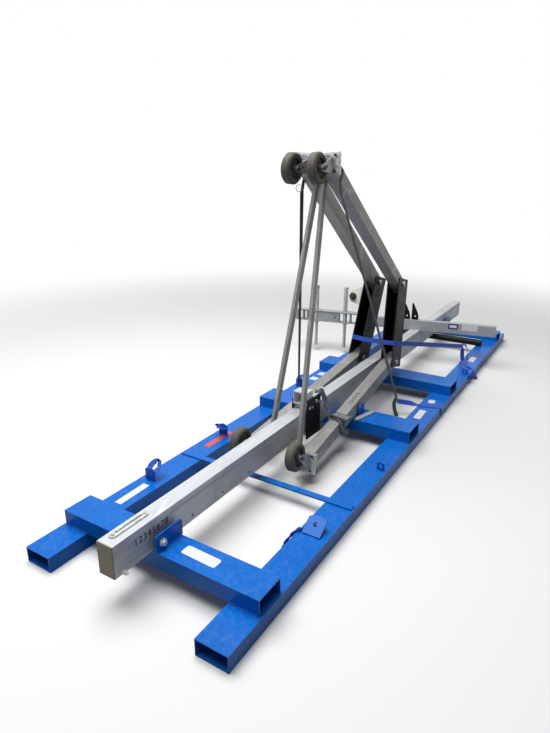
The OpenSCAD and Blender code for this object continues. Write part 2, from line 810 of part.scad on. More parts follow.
strap_z = -150;
hook_pt = [3640, 150, 215];

// Blue strap round both head channels, held down to the right rail.
module head_lashing() {
  color("mediumblue") {
    for (s = SIDES) in_frame(s) translate([head_x - clear - web_t, -out_y, strap_z - blue_w / 2])
      cube([web_t, 2 * out_y + clear + web_t, blue_w]);
    in_frame(1) translate([head_x - clear - web_t, out_y + clear, strap_z - blue_w / 2]) cube([160, web_t, blue_w]);
    placed() {
      band(frame_pt(1, [head_x - clear - web_t / 2, -out_y, strap_z]),
        frame_pt(-1, [head_x - clear - web_t / 2, -out_y, strap_z]), blue_w, 90 - frame_tilt);
      band(frame_pt(-1, [head_x - clear - web_t / 2, out_y + web_t + 1, strap_z]), hook_pt, blue_w, 90 - frame_tilt);
      band(hook_pt, [3640, rail_w - 14, web_z + web_t], blue_w, 90);
      band([3640, rail_w - 12, web_z], [3440, -clear - web_t / 2, web_z], blue_w, 0);
      band([3440, -clear - web_t / 2, web_z], [3430, -clear - web_t / 2, 24], blue_w, 90);
    }
  }
}

leg_u = 400;
grey_w = 30;
leg_in = half_leg + clear;
ratchet_turn = 20;

// A point by the right lower leg: a length from its foot, then outwards and upwards.
function low_pt(u, out, up) = frame_pt(-1, [
  u * cos(leg_angle) - up * sin(leg_angle),
  out,
  -base_half + u * sin(leg_angle) + up * cos(leg_angle)
]);

// Grey strap round the right lower leg, and its end hung from the slotted bar.
module trolley_lashing() {
  color("slategray") {
    at_end(-1, -1) rotate([0, -leg_angle, 0]) translate([leg_u, 0, 0]) difference() {
      cube([grey_w, 2 * (leg_in + web_t), 2 * (leg_in + web_t)], center = true);
      cube([2 * grey_w, 2 * leg_in, 2 * leg_in], center = true);
    }
    placed() {
      translate([trolley_x + 97, beam_y - 11, trolley_top + cover_t + slot_t + clear]) rotate([0, 0, slot_turn])
        translate([64, -slot_w / 2 - 6, 0]) cube([grey_w, slot_w, web_t]);
      band([trolley_x + 168, beam_y - 50, trolley_top + cover_t + slot_t], low_pt(leg_u + 22, -44, leg_in + 16), grey_w - 6, 0);
    }
  }
}

module dark_straps() {
  leg_lashing();
  trolley_lashing();
}

module blue_straps() {
  rail_webbing();
  head_lashing();
}

// Ratchet buckle on top of the leg: two cheeks, the spool, the end bar and the closed handle.
module ratchet() {
  color("silver") at_end(-1, -1) rotate([0, -leg_angle, 0]) translate([leg_u, 14, leg_in + web_t + clear])
    rotate([0, 0, ratchet_turn]) {
      for (x = [-24, 21]) translate([x, -56, 0]) cube([3, 112, 22]);
      translate([-28, -46, 12]) rotate([0, 90, 0]) cylinder(d = 10, h = 56);
      translate([-32, 18, 12]) rotate([0, 90, 0]) cylinder(d = 19, h = 64);
      translate([-19, -30, 22]) rotate([4, 0, 0]) cube([38, 112, 4]);
      for (x = [-24, 21]) translate([x, -34, 14]) rotate([4, 0, 0]) cube([3, 118, 12]);
      translate([-28, 80, 28]) rotate([0, 90, 0]) cylinder(d = 14, h = 56);
    }
}

rail_right();
rail_left();
cross_front();
pocket_a();
pocket_b();
cross_far();
tie_bar();
lug_plates();
lashing_eyes();
beam();
beam_caps();
beam_fittings();
trolley_right();
trolley_left();
trolley_spindles();
trolley_saddle();
slotted_bar();
low_leg_right();
low_leg_left();
low_foot_right();
low_foot_left();
top_leg_right();
top_leg_left();
top_foot_right();
top_foot_left();
base_tie_right();
base_tie_left();
head_channel_right();
head_channel_left();
head_bolts_right();
head_bolts_left();
guide_bracket();
guide_roller();
fork_low_right();
fork_low_left();
fork_top_right();
fork_top_left();
wheel_low_right();
wheel_low_left();
wheel_top_right();
wheel_top_left();
spreader_bar();
spreader_cells();
spreader_gussets();
jack_near();
jack_far();
roller_tube();
dark_straps();
blue_straps();
ratchet();
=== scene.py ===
# Folded aluminium gantry crane on its transport skid: finishes, webbing, plates and small fittings.
import math

import bmesh
import bpy
from mathutils import Matrix, Vector


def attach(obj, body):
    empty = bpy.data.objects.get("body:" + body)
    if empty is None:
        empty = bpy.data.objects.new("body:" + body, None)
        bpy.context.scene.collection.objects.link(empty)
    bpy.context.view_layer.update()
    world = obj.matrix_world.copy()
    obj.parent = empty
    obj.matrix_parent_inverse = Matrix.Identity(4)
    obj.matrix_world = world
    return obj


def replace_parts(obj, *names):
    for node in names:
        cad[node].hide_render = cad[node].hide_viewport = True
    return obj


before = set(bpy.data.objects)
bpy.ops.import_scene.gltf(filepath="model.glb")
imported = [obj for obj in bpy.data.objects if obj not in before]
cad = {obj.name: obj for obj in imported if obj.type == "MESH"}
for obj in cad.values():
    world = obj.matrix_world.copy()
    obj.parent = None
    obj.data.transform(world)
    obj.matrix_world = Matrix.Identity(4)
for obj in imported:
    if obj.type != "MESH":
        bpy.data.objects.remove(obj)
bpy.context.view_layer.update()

# The skid's near right corner on the ground, from which the sizes below were taken.
SKID_CORNER = Vector((2.5235, 0.81011, 0.0))

# The folded end frames, as in the part's source.
TILT = math.radians(14)
LEAN = math.radians(3.7)
TOE = math.radians(1.6)
LEG_TURN = math.radians(21.5)
BASE_HALF = 0.798
FRAME_X = 1.492
FRAME_Y = 0.12555
FRAME_Z = 0.89249
BEAM_Y = 0.585
HALF_LEG = 0.0381

# The skid's tubes and lashing eyes.
RAIL_TOP = 0.076
CROSS_TOP = 0.152
EYE_ROW = 1.045
RAIL_BEAD_Z = RAIL_TOP + 0.001
CROSS_BEAD_Z = CROSS_TOP + 0.001

# The black head channels: their open edge along a frame, and their wall.
HEAD_EDGE = 1.200
HEAD_WALL = 0.008


def spot(x, y, z):
    """A point measured from the skid's corner."""
    return Vector((x, y, z)) - SKID_CORNER


def turned(v):
    """A direction of the left end frame's own axes."""
    turn = Matrix.Rotation(-TOE, 3, "Z") @ Matrix.Rotation(LEAN, 3, "X") @ Matrix.Rotation(TILT, 3, "Y")
    return turn @ Vector(v)


def frame_spot(side, v):
    """A point of one end frame, given in the left frame's own axes."""
    t = turned(v)
    return spot(FRAME_X + t.x, BEAM_Y + side * (FRAME_Y + t.y), FRAME_Z + t.z)


def raised_spot(side, along, out, up):
    """A point by a raised leg: along it from its foot, then outwards and upwards from its middle."""
    return frame_spot(side, (
        along * math.cos(LEG_TURN) + up * math.sin(LEG_TURN),
        out,
        BASE_HALF - along * math.sin(LEG_TURN) + up * math.cos(LEG_TURN),
    ))


def lower_spot(side, along, out, up):
    """The same by a lower leg."""
    return frame_spot(side, (
        along * math.cos(LEG_TURN) - up * math.sin(LEG_TURN),
        out,
        -BASE_HALF + along * math.sin(LEG_TURN) + up * math.cos(LEG_TURN),
    ))


# Colours and materials

def colour(code):
    """A written colour, such as 1f66c9, as linear values."""
    parts = [int(code[i:i + 2], 16) / 255 for i in (0, 2, 4)]
    return tuple(p / 12.92 if p <= 0.04045 else ((p + 0.055) / 1.055) ** 2.4 for p in parts) + (1.0,)


def add(tree, kind, inputs=None, **settings):
    """One shader node with its settings, its values and its links."""
    made = tree.nodes.new("ShaderNode" + kind)
    for key, value in settings.items():
        setattr(made, key, value)
    for key, value in (inputs or {}).items():
        if isinstance(value, bpy.types.NodeSocket):
            tree.links.new(value, made.inputs[key])
        else:
            made.inputs[key].default_value = value
    return made


def finish(name, **values):
    """An empty material with its shader: the tree, the shader and the object's coordinates."""
    material = bpy.data.materials.new(name)
    material.use_nodes = True
    tree = material.node_tree
    tree.nodes.clear()
    shader = add(tree, "BsdfPrincipled", values)
    out = add(tree, "OutputMaterial")
    tree.links.new(shader.outputs[0], out.inputs["Surface"])
    place = add(tree, "TexCoord").outputs["Object"]
    return material, tree, shader, place


def blue_enamel():
    """Royal blue machine enamel, sprayed on steel: glossy, with dust, rubs and chipped edges."""
    material, tree, shader, place = finish("blue_enamel", **{"Specular IOR Level": 0.16})
    drift = add(tree, "TexNoise", {"Vector": place, "Scale": 3.5, "Detail": 5.0})
    body = add(tree, "MixRGB", {
        "Fac": drift.outputs["Fac"], "Color1": colour("0058b2"), "Color2": colour("046cc8")})
    # Pale scuffs drawn along the tubes by the fork blades and by straps
    long_way = add(tree, "Mapping", {"Vector": place, "Scale": (3.0, 26.0, 26.0)})
    scuff = add(tree, "TexNoise", {
        "Vector": long_way.outputs[0], "Scale": 1.6, "Detail": 8.0, "Roughness": 0.72})
    scuffed = add(tree, "MapRange", {
        "Value": scuff.outputs["Fac"], "From Min": 0.57, "From Max": 0.74, "To Min": 0.0, "To Max": 0.3})
    rubbed = add(tree, "MixRGB", {
        "Fac": scuffed.outputs[0], "Color1": body.outputs[0], "Color2": colour("3f93e6")})
    # Dust lies on what looks up
    facing = add(tree, "NewGeometry")
    height = add(tree, "SeparateXYZ", {"Vector": facing.outputs["Normal"]})
    upward = add(tree, "MapRange", {
        "Value": height.outputs["Z"], "From Min": 0.5, "From Max": 1.0, "To Min": 0.0, "To Max": 1.0})
    grit = add(tree, "TexNoise", {"Vector": place, "Scale": 42.0, "Detail": 6.0, "Roughness": 0.65})
    gritty = add(tree, "MapRange", {
        "Value": grit.outputs["Fac"], "From Min": 0.5, "From Max": 0.72, "To Min": 0.0, "To Max": 0.12})
    dust = add(tree, "Math", {0: upward.outputs[0], 1: gritty.outputs[0]}, operation="MULTIPLY")
    dusty = add(tree, "MixRGB", {
        "Fac": dust.outputs[0], "Color1": rubbed.outputs[0], "Color2": colour("9aa7b4")})
    # Chips show dark steel along the edges
    rounded = add(tree, "Bevel", {"Radius": 0.004}, samples=4)
    edge = add(tree, "VectorMath", {
        0: rounded.outputs[0], 1: facing.outputs["Normal"]}, operation="DOT_PRODUCT")
    at_edge = add(tree, "MapRange", {
        "Value": edge.outputs["Value"], "From Min": 0.995, "From Max": 0.86, "To Min": 0.0, "To Max": 1.0})
    chips = add(tree, "TexNoise", {"Vector": place, "Scale": 34.0, "Detail": 4.0})
    chipped = add(tree, "MapRange", {
        "Value": chips.outputs["Fac"], "From Min": 0.56, "From Max": 0.6, "To Min": 0.0, "To Max": 1.0})
    bare = add(tree, "Math", {0: at_edge.outputs[0], 1: chipped.outputs[0]}, operation="MULTIPLY")
    worn = add(tree, "MixRGB", {
        "Fac": bare.outputs[0], "Color1": dusty.outputs[0], "Color2": colour("4c5a6c")})
    gloss = add(tree, "MapRange", {
        "Value": grit.outputs["Fac"], "From Min": 0.3, "From Max": 0.75, "To Min": 0.22, "To Max": 0.46})
    # Orange peel of the sprayed coat, with the tube's own waviness under it
    peel = add(tree, "TexNoise", {"Vector": place, "Scale": 240.0, "Detail": 2.0})
    wave = add(tree, "TexNoise", {"Vector": place, "Scale": 7.0, "Detail": 2.0})
    low = add(tree, "Bump", {"Height": wave.outputs["Fac"], "Strength": 0.25, "Distance": 0.01})
    skin = add(tree, "Bump", {
        "Height": peel.outputs["Fac"], "Normal": low.outputs[0], "Strength": 0.12, "Distance": 0.001})
    tree.links.new(worn.outputs[0], shader.inputs["Base Color"])
    tree.links.new(gloss.outputs[0], shader.inputs["Roughness"])
    tree.links.new(skin.outputs[0], shader.inputs["Normal"])
    return material


def mill_aluminium(name, dark, light, rough, grain):
    """Extruded aluminium as it leaves the mill: dull, with drawn lines, grey smears and scratches."""
    material, tree, shader, place = finish(name, Metallic=0.3)
    drawn = add(tree, "Mapping", {"Vector": place, "Scale": grain})
    lines = add(tree, "TexNoise", {"Vector": drawn.outputs[0], "Scale": 60.0, "Detail": 5.0})
    cloud = add(tree, "TexNoise", {"Vector": place, "Scale": 5.0, "Detail": 7.0, "Roughness": 0.62})
    tone = add(tree, "MixRGB", {
        "Fac": lines.outputs["Fac"], "Color1": colour(dark), "Color2": colour(light)})
    smear = add(tree, "MapRange", {
        "Value": cloud.outputs["Fac"], "From Min": 0.5, "From Max": 0.8, "To Min": 0.0, "To Max": 0.6})
    smeared = add(tree, "MixRGB", {
        "Fac": smear.outputs[0], "Color1": tone.outputs[0], "Color2": colour("6c7073")})
    # Fine bright scratches, stretched along the drawn lines
    cells = add(tree, "TexVoronoi", {
        "Vector": drawn.outputs[0], "Scale": 11.0}, feature="DISTANCE_TO_EDGE")
    scratch = add(tree, "MapRange", {
        "Value": cells.outputs["Distance"], "From Min": 0.0, "From Max": 0.012,
        "To Min": 0.35, "To Max": 0.0})
    scratched = add(tree, "MixRGB", {
        "Fac": scratch.outputs[0], "Color1": smeared.outputs[0], "Color2": colour("dfe3e6")})
    gloss = add(tree, "MapRange", {
        "Value": cloud.outputs["Fac"], "From Min": 0.3, "From Max": 0.8,
        "To Min": rough, "To Max": rough + 0.22})
    grooves = add(tree, "Bump", {"Height": lines.outputs["Fac"], "Strength": 0.1, "Distance": 0.001})
    tree.links.new(scratched.outputs[0], shader.inputs["Base Color"])
    tree.links.new(gloss.outputs[0], shader.inputs["Roughness"])
    tree.links.new(grooves.outputs[0], shader.inputs["Normal"])
    return material


def black_coat():
    """Black satin paint on flame-cut steel plate, rubbed grey at its edges and dusty."""
    material, tree, shader, place = finish("black_satin_coat", **{"Specular IOR Level": 0.14})
    cloud = add(tree, "TexNoise", {"Vector": place, "Scale": 14.0, "Detail": 6.0, "Roughness": 0.6})
    body = add(tree, "MixRGB", {
        "Fac": cloud.outputs["Fac"], "Color1": colour("08090b"), "Color2": colour("191a1e")})
    facing = add(tree, "NewGeometry")
    rounded = add(tree, "Bevel", {"Radius": 0.003}, samples=4)
    edge = add(tree, "VectorMath", {
        0: rounded.outputs[0], 1: facing.outputs["Normal"]}, operation="DOT_PRODUCT")
    at_edge = add(tree, "MapRange", {
        "Value": edge.outputs["Value"], "From Min": 0.99, "From Max": 0.82, "To Min": 0.0, "To Max": 0.8})
    worn = add(tree, "MixRGB", {
        "Fac": at_edge.outputs[0], "Color1": body.outputs[0], "Color2": colour("54575c")})
    rub = add(tree, "MapRange", {
        "Value": cloud.outputs["Fac"], "From Min": 0.62, "From Max": 0.8, "To Min": 0.0, "To Max": 0.5})
    rubbed = add(tree, "MixRGB", {
        "Fac": rub.outputs[0], "Color1": worn.outputs[0], "Color2": colour("5b5b58")})
    gloss = add(tree, "MapRange", {
        "Value": cloud.outputs["Fac"], "From Min": 0.3, "From Max": 0.75, "To Min": 0.32, "To Max": 0.6})
    peel = add(tree, "TexNoise", {"Vector": place, "Scale": 300.0, "Detail": 2.0})
    skin = add(tree, "Bump", {"Height": peel.outputs["Fac"], "Strength": 0.15, "Distance": 0.001})
    tree.links.new(rubbed.outputs[0], shader.inputs["Base Color"])
    tree.links.new(gloss.outputs[0], shader.inputs["Roughness"])
    tree.links.new(skin.outputs[0], shader.inputs["Normal"])
    return material


def zinc_plate(name, dark, light):
    """Zinc coated steel: grey, with the soft spangle of the bath, grime and spots of rust."""
    material, tree, shader, place = finish(name, Metallic=0.7)
    spangle = add(tree, "TexVoronoi", {"Vector": place, "Scale": 95.0})
    tone = add(tree, "MixRGB", {
        "Fac": spangle.outputs["Color"], "Color1": colour(dark), "Color2": colour(light)})
    cloud = add(tree, "TexNoise", {"Vector": place, "Scale": 22.0, "Detail": 6.0, "Roughness": 0.65})
    grime = add(tree, "MapRange", {
        "Value": cloud.outputs["Fac"], "From Min": 0.5, "From Max": 0.75, "To Min": 0.0, "To Max": 0.55})
    grimy = add(tree, "MixRGB", {
        "Fac": grime.outputs[0], "Color1": tone.outputs[0], "Color2": colour("4a4842")})
    rust = add(tree, "TexNoise", {"Vector": place, "Scale": 31.0, "Detail": 5.0, "Distortion": 0.4})
    rusty = add(tree, "MapRange", {
        "Value": rust.outputs["Fac"], "From Min": 0.66, "From Max": 0.74, "To Min": 0.0, "To Max": 0.6})
    stained = add(tree, "MixRGB", {
        "Fac": rusty.outputs[0], "Color1": grimy.outputs[0], "Color2": colour("7a4a2c")})
    gloss = add(tree, "MapRange", {
        "Value": cloud.outputs["Fac"], "From Min": 0.3, "From Max": 0.75, "To Min": 0.3, "To Max": 0.62})
    skin = add(tree, "Bump", {"Height": cloud.outputs["Fac"], "Strength": 0.12, "Distance": 0.002})
    tree.links.new(stained.outputs[0], shader.inputs["Base Color"])
    tree.links.new(gloss.outputs[0], shader.inputs["Roughness"])
    tree.links.new(skin.outputs[0], shader.inputs["Normal"])
    return material


def tyre_rubber():
    """Solid rubber tyre: dark grey, dull, its tread dusty and scored."""
    material, tree, shader, place = finish("dusty_tyre_rubber")
    cloud = add(tree, "TexNoise", {"Vector": place, "Scale": 38.0, "Detail": 8.0, "Roughness": 0.7})
    tone = add(tree, "MixRGB", {
        "Fac": cloud.outputs["Fac"], "Color1": colour("24221f"), "Color2": colour("6b665c")})
    scores = add(tree, "TexNoise", {"Vector": place, "Scale": 130.0, "Detail": 4.0})
    gloss = add(tree, "MapRange", {
        "Value": scores.outputs["Fac"], "From Min": 0.3, "From Max": 0.7, "To Min": 0.62, "To Max": 0.9})
    skin = add(tree, "Bump", {"Height": scores.outputs["Fac"], "Strength": 0.35, "Distance": 0.002})
    tree.links.new(tone.outputs[0], shader.inputs["Base Color"])
    tree.links.new(gloss.outputs[0], shader.inputs["Roughness"])
    tree.links.new(skin.outputs[0], shader.inputs["Normal"])
    return material


def moulded_cap():
    """Moulded end cap in grey-brown plastic, gone chalky outdoors."""
    material, tree, shader, place = finish("chalky_moulded_cap")
    cloud = add(tree, "TexNoise", {"Vector": place, "Scale": 30.0, "Detail": 6.0})
    tone = add(tree, "MixRGB", {
        "Fac": cloud.outputs["Fac"], "Color1": colour("75685a"), "Color2": colour("94877a")})
    skin = add(tree, "Bump", {"Height": cloud.outputs["Fac"], "Strength": 0.1, "Distance": 0.001})
    gloss = add(tree, "MapRange", {
        "Value": cloud.outputs["Fac"], "From Min": 0.3, "From Max": 0.7, "To Min": 0.5, "To Max": 0.7})
    tree.links.new(tone.outputs[0], shader.inputs["Base Color"])
    tree.links.new(gloss.outputs[0], shader.inputs["Roughness"])
    tree.links.new(skin.outputs[0], shader.inputs["Normal"])
    return material


def coat(name, dark, light, rough):
    """A coat, film or rubber of one colour, a little dirty."""
    material, tree, shader, place = finish(name)
    cloud = add(tree, "TexNoise", {"Vector": place, "Scale": 24.0, "Detail": 7.0, "Roughness": 0.65})
    tone = add(tree, "MixRGB", {
        "Fac": cloud.outputs["Fac"], "Color1": colour(light), "Color2": colour(dark)})
    gloss = add(tree, "MapRange", {
        "Value": cloud.outputs["Fac"], "From Min": 0.3, "From Max": 0.75,
        "To Min": rough, "To Max": rough + 0.2})
    skin = add(tree, "Bump", {"Height": cloud.outputs["Fac"], "Strength": 0.08, "Distance": 0.001})
    tree.links.new(tone.outputs[0], shader.inputs["Base Color"])
    tree.links.new(gloss.outputs[0], shader.inputs["Roughness"])
    tree.links.new(skin.outputs[0], shader.inputs["Normal"])
    return material


def woven_webbing(name, dark, light, faded_to):
    """Woven polyester webbing, faded in places. Its ribs are 2 mm apart, drawn 12 mm apart to show."""
    material, tree, shader, place = finish(name, **{"Sheen Weight": 0.25, "Roughness": 0.85})
    along = add(tree, "UVMap", uv_map="strap")
    weave = add(tree, "TexWave", {"Vector": along.outputs[0], "Scale": 26.0, "Distortion": 0.6},
                bands_direction="X", wave_profile="SIN")
    fray = add(tree, "TexNoise", {"Vector": place, "Scale": 60.0, "Detail": 6.0})
    tone = add(tree, "MixRGB", {
        "Fac": weave.outputs["Fac"], "Color1": colour(dark), "Color2": colour(light)})
    faded = add(tree, "MapRange", {
        "Value": fray.outputs["Fac"], "From Min": 0.45, "From Max": 0.8, "To Min": 0.0, "To Max": 0.4})
    dusty = add(tree, "MixRGB", {
        "Fac": faded.outputs[0], "Color1": tone.outputs[0], "Color2": colour(faded_to)})
    skin = add(tree, "Bump", {"Height": weave.outputs["Fac"], "Strength": 0.5, "Distance": 0.001})
    tree.links.new(dusty.outputs[0], shader.inputs["Base Color"])
    tree.links.new(skin.outputs[0], shader.inputs["Normal"])
    return material


ENAMEL = blue_enamel()
BEAM_METAL = mill_aluminium("anodised_beam_aluminium", "a9adb2", "cfd2d6", 0.42, (0.04, 1.0, 1.0))
LEG_METAL = mill_aluminium("mill_finish_leg_aluminium", "7d7b77", "a6a4a1", 0.45, (0.2, 1.0, 0.2))
BAR_METAL = mill_aluminium("weathered_bar_aluminium", "8b8f92", "adb1b4", 0.5, (1.0, 0.04, 1.0))
CAST_METAL = mill_aluminium("bright_saddle_aluminium", "c2c6c9", "e6e9eb", 0.4, (1.0, 1.0, 1.0))
BLACK = black_coat()
ZINC = zinc_plate("zinc_plated_steel", "8b8d8d", "b9bbba")
FORK_ZINC = zinc_plate("passivated_fork_zinc", "74777a", "a4a7a9")
DULL_ZINC = zinc_plate("dulled_ratchet_zinc", "5f6265", "85888a")
FOOT_ZINC = zinc_plate("galvanised_foot_plate", "a6a8a7", "d4d6d4")
JACK_STEEL = zinc_plate("galvanised_jack_tube", "a2a29c", "c9c9c2")
FITTING = zinc_plate("bright_zinc_fitting", "a9abab", "dcdedd")
DARK_BOLT = zinc_plate("blackened_bolt_steel", "2b2b2c", "4a4a4a")
TYRE = tyre_rubber()
CAP = moulded_cap()
CREAM = coat("cream_powder_coat", "b9b6a8", "e9e7dd", 0.35)
RING_RUBBER = coat("black_ring_rubber", "0d0d0e", "2a2a2b", 0.55)
DARK_WEBBING = woven_webbing("black_polyester_webbing", "131416", "34363a", "6b6a66")
BLUE_WEBBING = woven_webbing("blue_polyester_webbing", "0d2f92", "2a5cd0", "5877b8")
GREY_WEBBING = woven_webbing("grey_polyester_webbing", "3c434b", "77808a", "9b9c98")
LABEL = coat("white_vinyl_label", "c4c8cc", "e4e6e8", 0.35)
INK = coat("black_stencil_ink", "17181a", "2c2e31", 0.5)
NAVY = coat("navy_vinyl_label", "121a4a", "26306e", 0.3)
RED_TAPE = coat("red_vinyl_strip", "b83a3a", "d85a54", 0.35)

NODE_FINISH = {
    "rail_": ENAMEL, "cross_": ENAMEL, "pocket_": ENAMEL, "tie_bar": ENAMEL, "lug_plates": ENAMEL,
    "lashing_eyes": ENAMEL, "beam": BEAM_METAL, "beam_caps": CAP, "beam_fittings": FITTING,
    "trolley_right": BLACK, "trolley_left": BLACK, "trolley_spindles": ZINC, "trolley_saddle": CAST_METAL,
    "slotted_bar": FITTING, "low_leg": LEG_METAL, "top_leg": LEG_METAL, "low_foot": FOOT_ZINC,
    "top_foot": FOOT_ZINC, "base_tie": LEG_METAL, "head_channel": BLACK, "head_bolts": ZINC,
    "guide_bracket": CREAM, "guide_roller": RING_RUBBER, "fork_": FORK_ZINC, "wheel_": TYRE,
    "spreader_bar": BAR_METAL, "spreader_cells": BAR_METAL, "spreader_gussets": BLACK,
    "jack_": JACK_STEEL, "roller_tube": BLACK, "ratchet": DULL_ZINC, "dark_straps": DARK_WEBBING,
    "blue_straps": BLUE_WEBBING,
}
for node_name, node_object in cad.items():
    start = max((key for key in NODE_FINISH if node_name.startswith(key)), key=len)
    for place_slot in node_object.material_slots:
        place_slot.material = NODE_FINISH[start]


# Making and placing pieces

def start_clean():
    """Leaves edit mode and selects nothing."""
    if bpy.context.object and bpy.context.object.mode != "OBJECT":
        bpy.ops.object.mode_set(mode="OBJECT")
    bpy.ops.object.select_all(action="DESELECT")


def settle(piece, name, material, body="skid_pack"):
    """Names the piece, gives it its material and lets it ride on its body."""
    piece.name = name
    piece.data.name = name
    piece.data.materials.clear()
    piece.data.materials.append(material)
    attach(piece, body)
    return piece


def fixed(piece):
    """Moves the piece's place, turn and size into its mesh."""
    start_clean()
    piece.select_set(True)
    bpy.context.view_layer.objects.active = piece
    bpy.ops.object.transform_apply(location=True, rotation=True, scale=True)
    return piece


def apply_modifiers(piece):
    """Applies each modifier of the piece in turn."""
    start_clean()
    piece.select_set(True)
    bpy.context.view_layer.objects.active = piece
    for modifier in list(piece.modifiers):
        bpy.ops.object.modifier_apply(modifier=modifier.name)
    return piece


def block(size, place=(0, 0, 0)):
    """A cube brought to its size."""
    start_clean()
    bpy.ops.mesh.primitive_cube_add(size=1, location=place)
    made = bpy.context.object
    made.scale = size
    return fixed(made)


def softened(piece, reach):
    """Every edge of the piece bevelled a little."""
    rim = piece.modifiers.new("rim", "BEVEL")
    rim.width = reach
    rim.segments = 2
    return apply_modifiers(piece)


def repeated(piece, count, pitch):
    """A row of copies of the piece along X."""
    row = piece.modifiers.new("row", "ARRAY")
    row.count = count
    row.use_relative_offset = False
    row.use_constant_offset = True
    row.constant_offset_displace = (pitch, 0, 0)
    return apply_modifiers(piece)


def rounded_at(piece, reach, segments, chosen):
    """The piece with its chosen edges bevelled round."""
    bpy.ops.object.mode_set(mode="EDIT")
    bpy.ops.mesh.select_all(action="DESELECT")
    bpy.ops.object.mode_set(mode="OBJECT")
    for edge in piece.data.edges:
        a, b = (piece.data.vertices[i].co for i in edge.vertices)
        edge.select = chosen(a, b)
    bpy.ops.object.mode_set(mode="EDIT")
    bpy.ops.mesh.select_mode(type="EDGE")
    bpy.ops.mesh.bevel(offset=reach, segments=segments)
    bpy.ops.object.mode_set(mode="OBJECT")
    return piece


def upright(a, b):
    """Whether an edge between these two points runs up and down."""
    return abs(a.z - b.z) > 1e-6


def eased(corners, reach):
    """The route with each of its corners cut back by up to the reach and rounded."""
    points = [corners[0]]
    for before, corner, after in zip(corners, corners[1:], corners[2:]):
        back = min(reach, (before[0] - corner[0]).length / 2)
        ahead = min(reach, (after[0] - corner[0]).length / 2)
        a = corner[0] + (before[0] - corner[0]).normalized() * back
        b = corner[0] + (after[0] - corner[0]).normalized() * ahead
        for t in (0.0, 0.25, 0.5, 0.75, 1.0):
            p = a * (1 - t) ** 2 + corner[0] * 2 * t * (1 - t) + b * t ** 2
            points.append((p, corner[1]))
    points.append(corners[-1])
    return points


def webbing(name, route, width, thick, material, reach=0.006, step=0.03):
    """A strap along a route of (point, direction across it): a grid laid row by row, given its thickness."""
    rows = []
    eased_route = eased(route, reach)
    for (p, across_p), (q, across_q) in zip(eased_route, eased_route[1:]):
        count = max(1, math.ceil((q - p).length / step))
        for i in range(count):
            t = i / count
            rows.append((p.lerp(q, t), across_p.normalized().lerp(across_q.normalized(), t)))
    rows.append((eased_route[-1][0], eased_route[-1][1].normalized()))
    rows = [row for i, row in enumerate(rows) if i == 0 or (row[0] - rows[i - 1][0]).length > 1e-5]
    start_clean()
    bpy.ops.mesh.primitive_grid_add(x_subdivisions=4, y_subdivisions=len(rows) - 1, size=1)
    piece = bpy.context.object
    mesh = bmesh.new()
    mesh.from_mesh(piece.data)
    layer = mesh.loops.layers.uv.new("strap")
    lengths = [0.0]
    for (p, across_p), (q, across_q) in zip(rows, rows[1:]):
        lengths.append(lengths[-1] + (q - p).length)
    grid = {}
    for vertex in mesh.verts:
        row = round((vertex.co.y + 0.5) * (len(rows) - 1))
        side = vertex.co.x
        grid[vertex.index] = (lengths[row], side * width)
        p = rows[row][0]
        ahead = rows[min(row + 1, len(rows) - 1)][0] - rows[max(row - 1, 0)][0]
        across = rows[row][1]
        across = (across - across.project(ahead)).normalized()
        vertex.co = p + across * side * width
    for face in mesh.faces:
        for loop in face.loops:
            loop[layer].uv = grid[loop.vert.index]
    mesh.to_mesh(piece.data)
    mesh.free()
    for old in [l.name for l in piece.data.uv_layers if l.name != "strap"]:
        piece.data.uv_layers.remove(piece.data.uv_layers[old])
    wall = piece.modifiers.new("thickness", "SOLIDIFY")
    wall.thickness = thick
    wall.offset = 0
    apply_modifiers(piece)
    bpy.ops.object.shade_smooth_by_angle(angle=math.radians(40))
    return settle(piece, name, material)


def plate(name, centre, size, turn, material, corner):
    """A thin plate with rounded corners."""
    piece = rounded_at(block(size), corner, 5, upright)
    piece.matrix_world = Matrix.Translation(centre) @ turn.to_4x4()
    fixed(piece)
    return settle(piece, name, material)


def axes_turn(x_way, y_way):
    """The turn that puts a piece's X and Y along these ways."""
    x = x_way.normalized()
    z = x.cross(y_way).normalized()
    y = z.cross(x)
    return Matrix((x, y, z)).transposed()


# Straps

STRAP_GAP = 0.0003
WEB = 0.003
THIN_WEB = 0.0025
STRAP_SEAT = STRAP_GAP + WEB / 2
STRAP_ALONG = 0.062
STRAP_OUT = HALF_LEG + STRAP_SEAT


